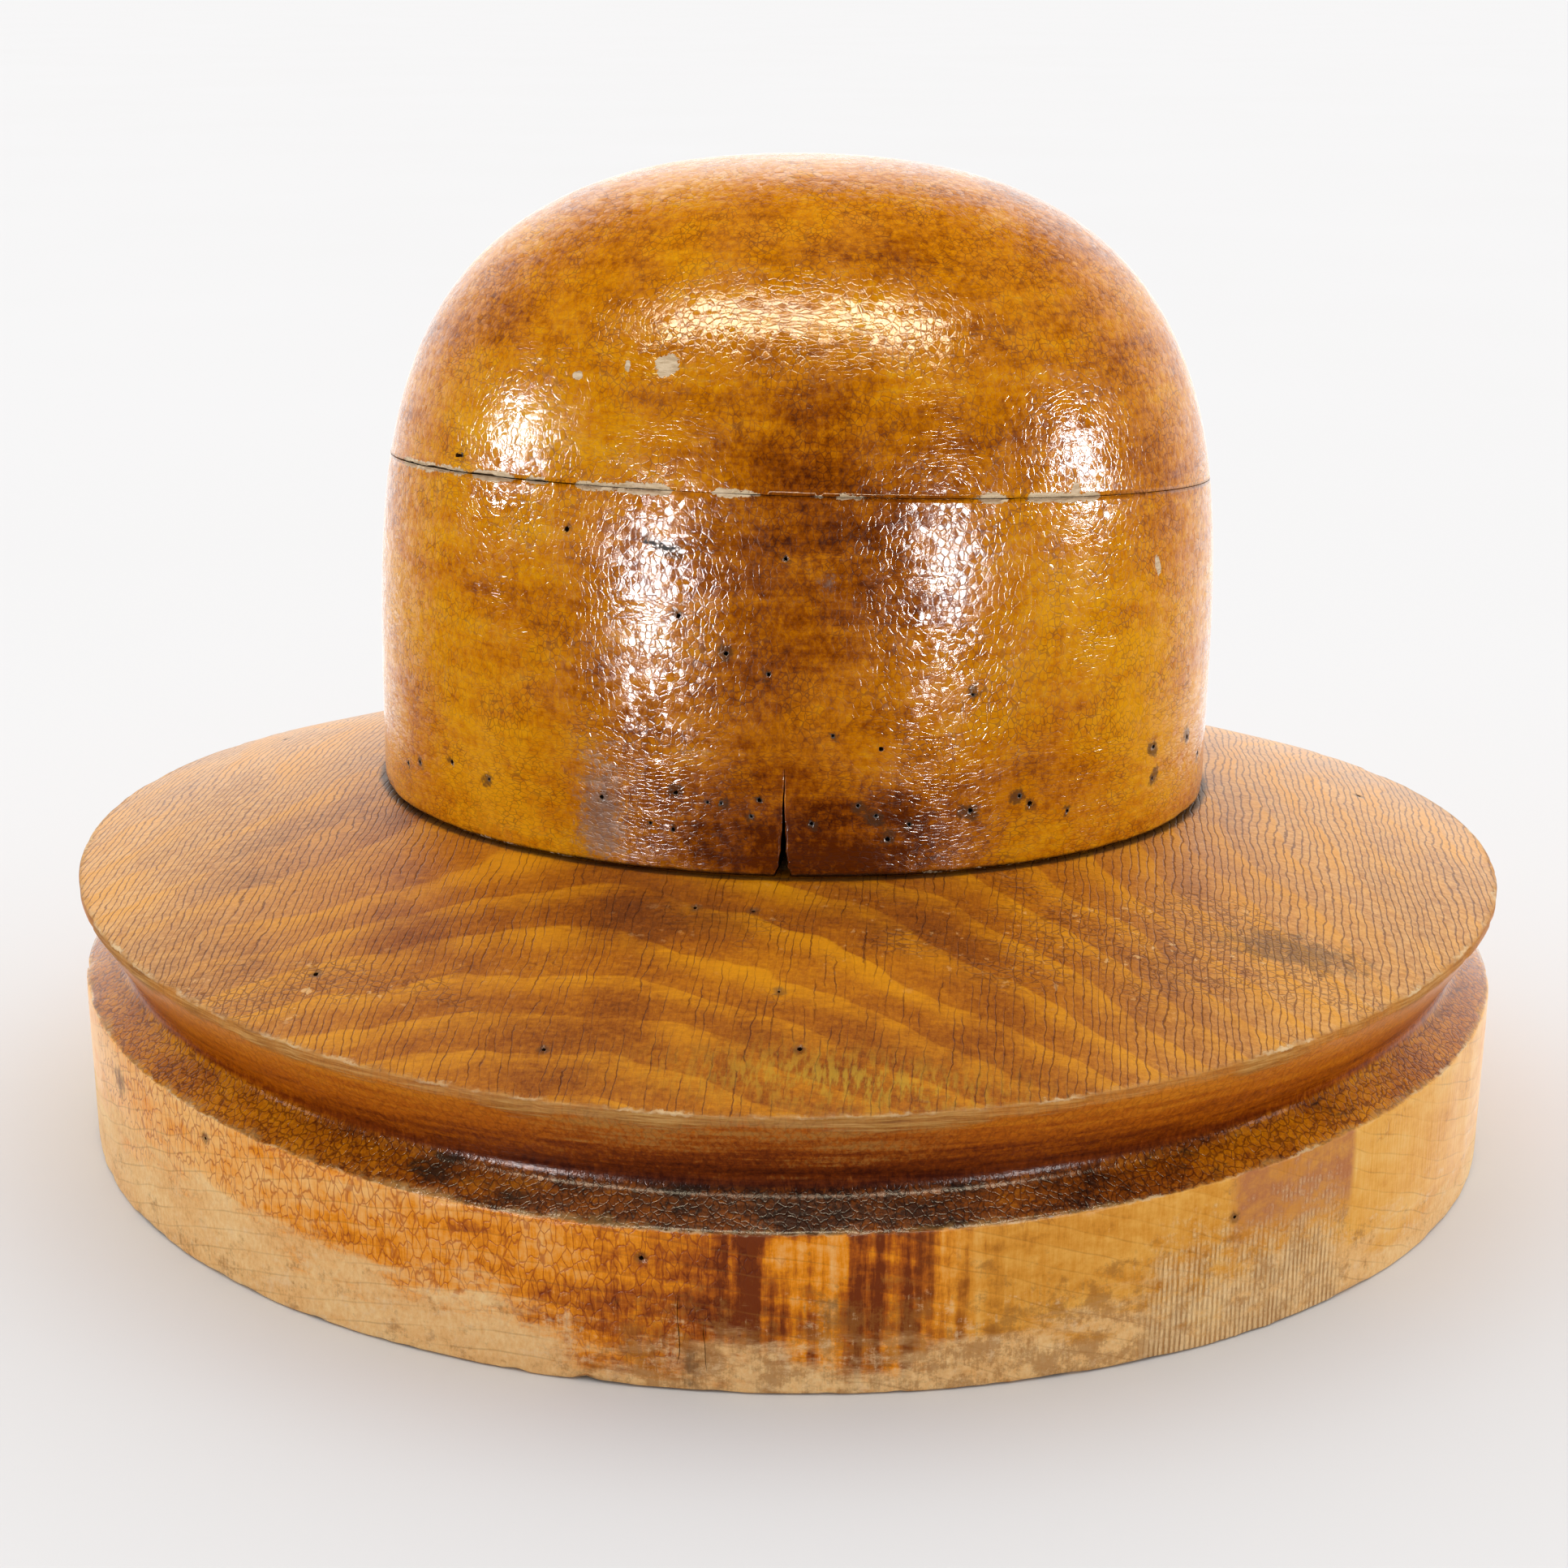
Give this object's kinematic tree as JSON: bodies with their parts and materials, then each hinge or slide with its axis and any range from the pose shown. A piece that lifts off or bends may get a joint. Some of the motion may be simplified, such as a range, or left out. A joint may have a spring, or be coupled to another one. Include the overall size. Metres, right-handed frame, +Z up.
{
  "type": "hat block",
  "caption": "Wooden hat block: a domed oval crown that lifts off a wide sloping brim block with a rope groove round its edge and a flat underside.",
  "frame": {"origin": "middle of the underside, on the surface the block rests on", "axes": "+Z up; +X along the length of the head oval; -Y towards the side with the drying check"},
  "size_m": [0.34, 0.31, 0.2277],
  "materials": {
    "brim_shellac": "worn amber shellac on sawn hardwood, dark red-brown in the groove",
    "crown_shellac": "glossy amber shellac with fine crackle",
    "pin_wood": "bare turned dowel"
  },
  "bodies": {
    "brim": {"brim_block": "brim_shellac", "locating_pin_left": "pin_wood", "locating_pin_right": "pin_wood"},
    "crown": {"crown_lower": "crown_shellac", "crown_upper": "crown_shellac"}
  },
  "joints": [
    {"name": "crown_lift", "type": "slide", "parent": "brim", "child": "crown", "axis": [0, 0, 1], "range_m": [0, 0.06]}
  ]
}
